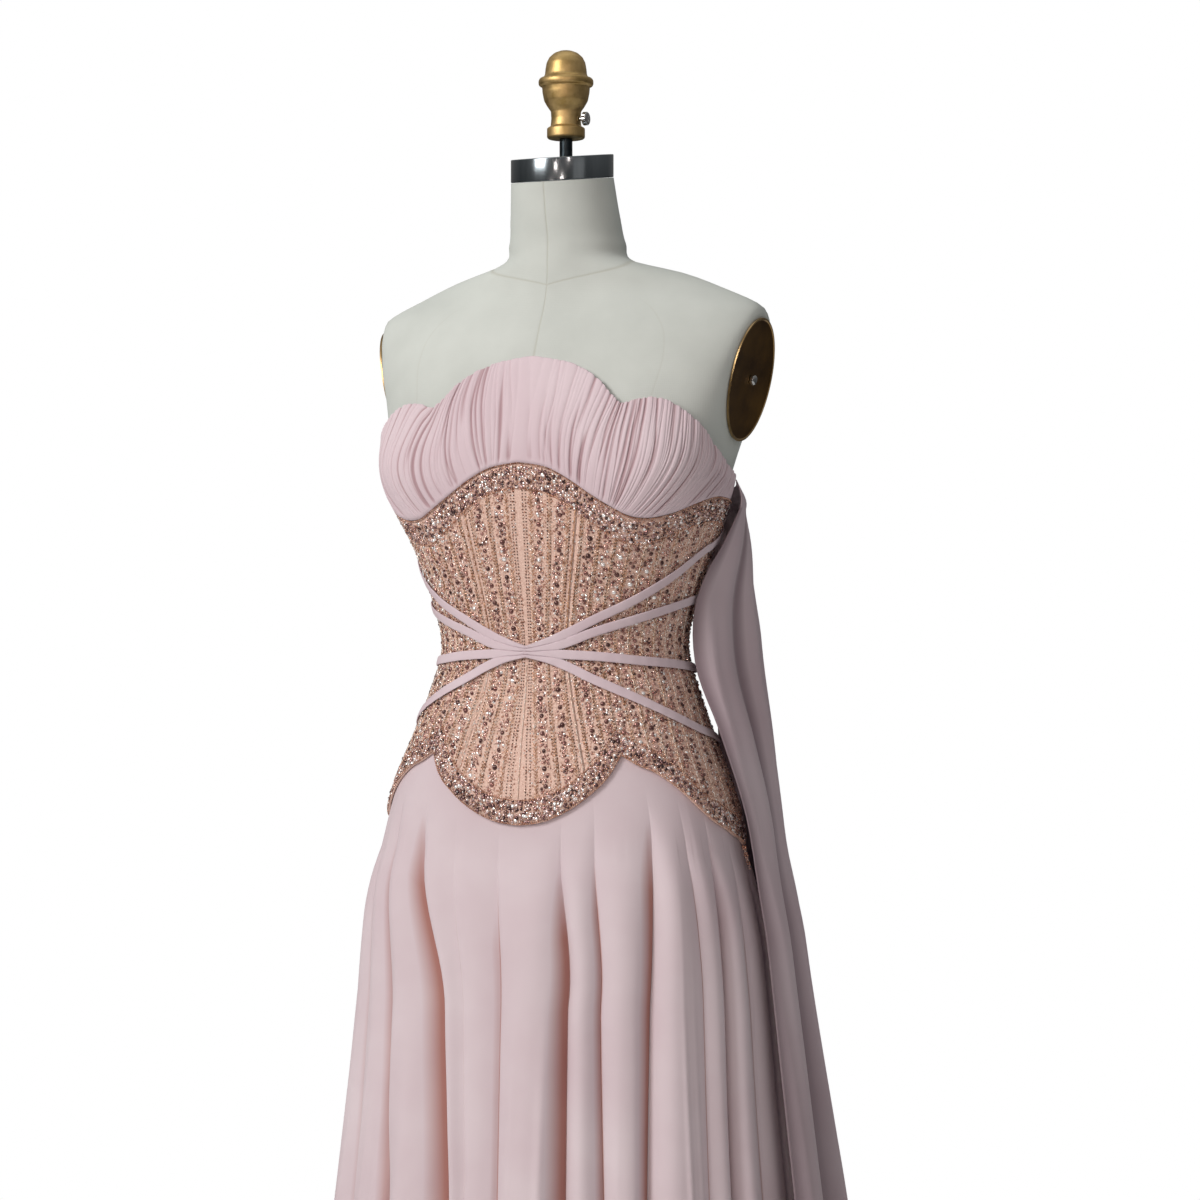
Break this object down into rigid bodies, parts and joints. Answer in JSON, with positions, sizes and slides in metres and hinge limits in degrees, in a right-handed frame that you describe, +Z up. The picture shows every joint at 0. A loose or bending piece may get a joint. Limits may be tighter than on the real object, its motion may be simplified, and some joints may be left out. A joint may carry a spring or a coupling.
{
  "type": "a-line evening gown on a limbless dress form",
  "caption": "Strapless a-line evening gown, gathered bust, beaded corset, waist straps, back cape and long skirt, worn by a limbless dress form on a round base.",
  "frame": {"origin": "centre of the stand base's underside, on the floor", "axes": "+Z up along the stand, -Y the gown's front, +X the wearer's left"},
  "size_m": [0.6734, 0.5765, 1.6695],
  "materials": {
    "linen": "matt plain-woven linen cover",
    "chiffon": "soft matt blush chiffon",
    "beaded_mesh": "nude mesh set with rose gold beads and cut stones",
    "steel": "polished",
    "dark_steel": "dark oiled",
    "antique_gold": "cast, antique gold",
    "bronze": "aged dark bronze",
    "painted_iron": "black paint"
  },
  "bodies": {
    "root": {"arm_bolt_left": "steel", "arm_bolt_right": "steel", "arm_plate_left": "bronze", "arm_plate_right": "bronze", "bust_back_left": "chiffon", "bust_back_right": "chiffon", "bust_front": "chiffon", "cape": "chiffon", "corset_back_left": "beaded_mesh", "corset_back_right": "beaded_mesh", "corset_front_centre": "beaded_mesh", "corset_front_left": "beaded_mesh", "corset_front_right": "beaded_mesh", "finial": "antique_gold", "finial_rod": "dark_steel", "finial_screw": "steel", "form_torso": "linen", "neck_cap": "steel", "side_tail_left": "beaded_mesh", "side_tail_right": "beaded_mesh", "skirt_back": "chiffon", "skirt_front": "chiffon", "stand_base": "painted_iron", "stand_pole": "steel", "strap_knot": "chiffon", "strap_left_1": "chiffon", "strap_left_2": "chiffon", "strap_left_3": "chiffon", "strap_left_4": "chiffon", "strap_right_1": "chiffon", "strap_right_2": "chiffon", "strap_right_3": "chiffon", "strap_right_4": "chiffon"}
  },
  "joints": []
}
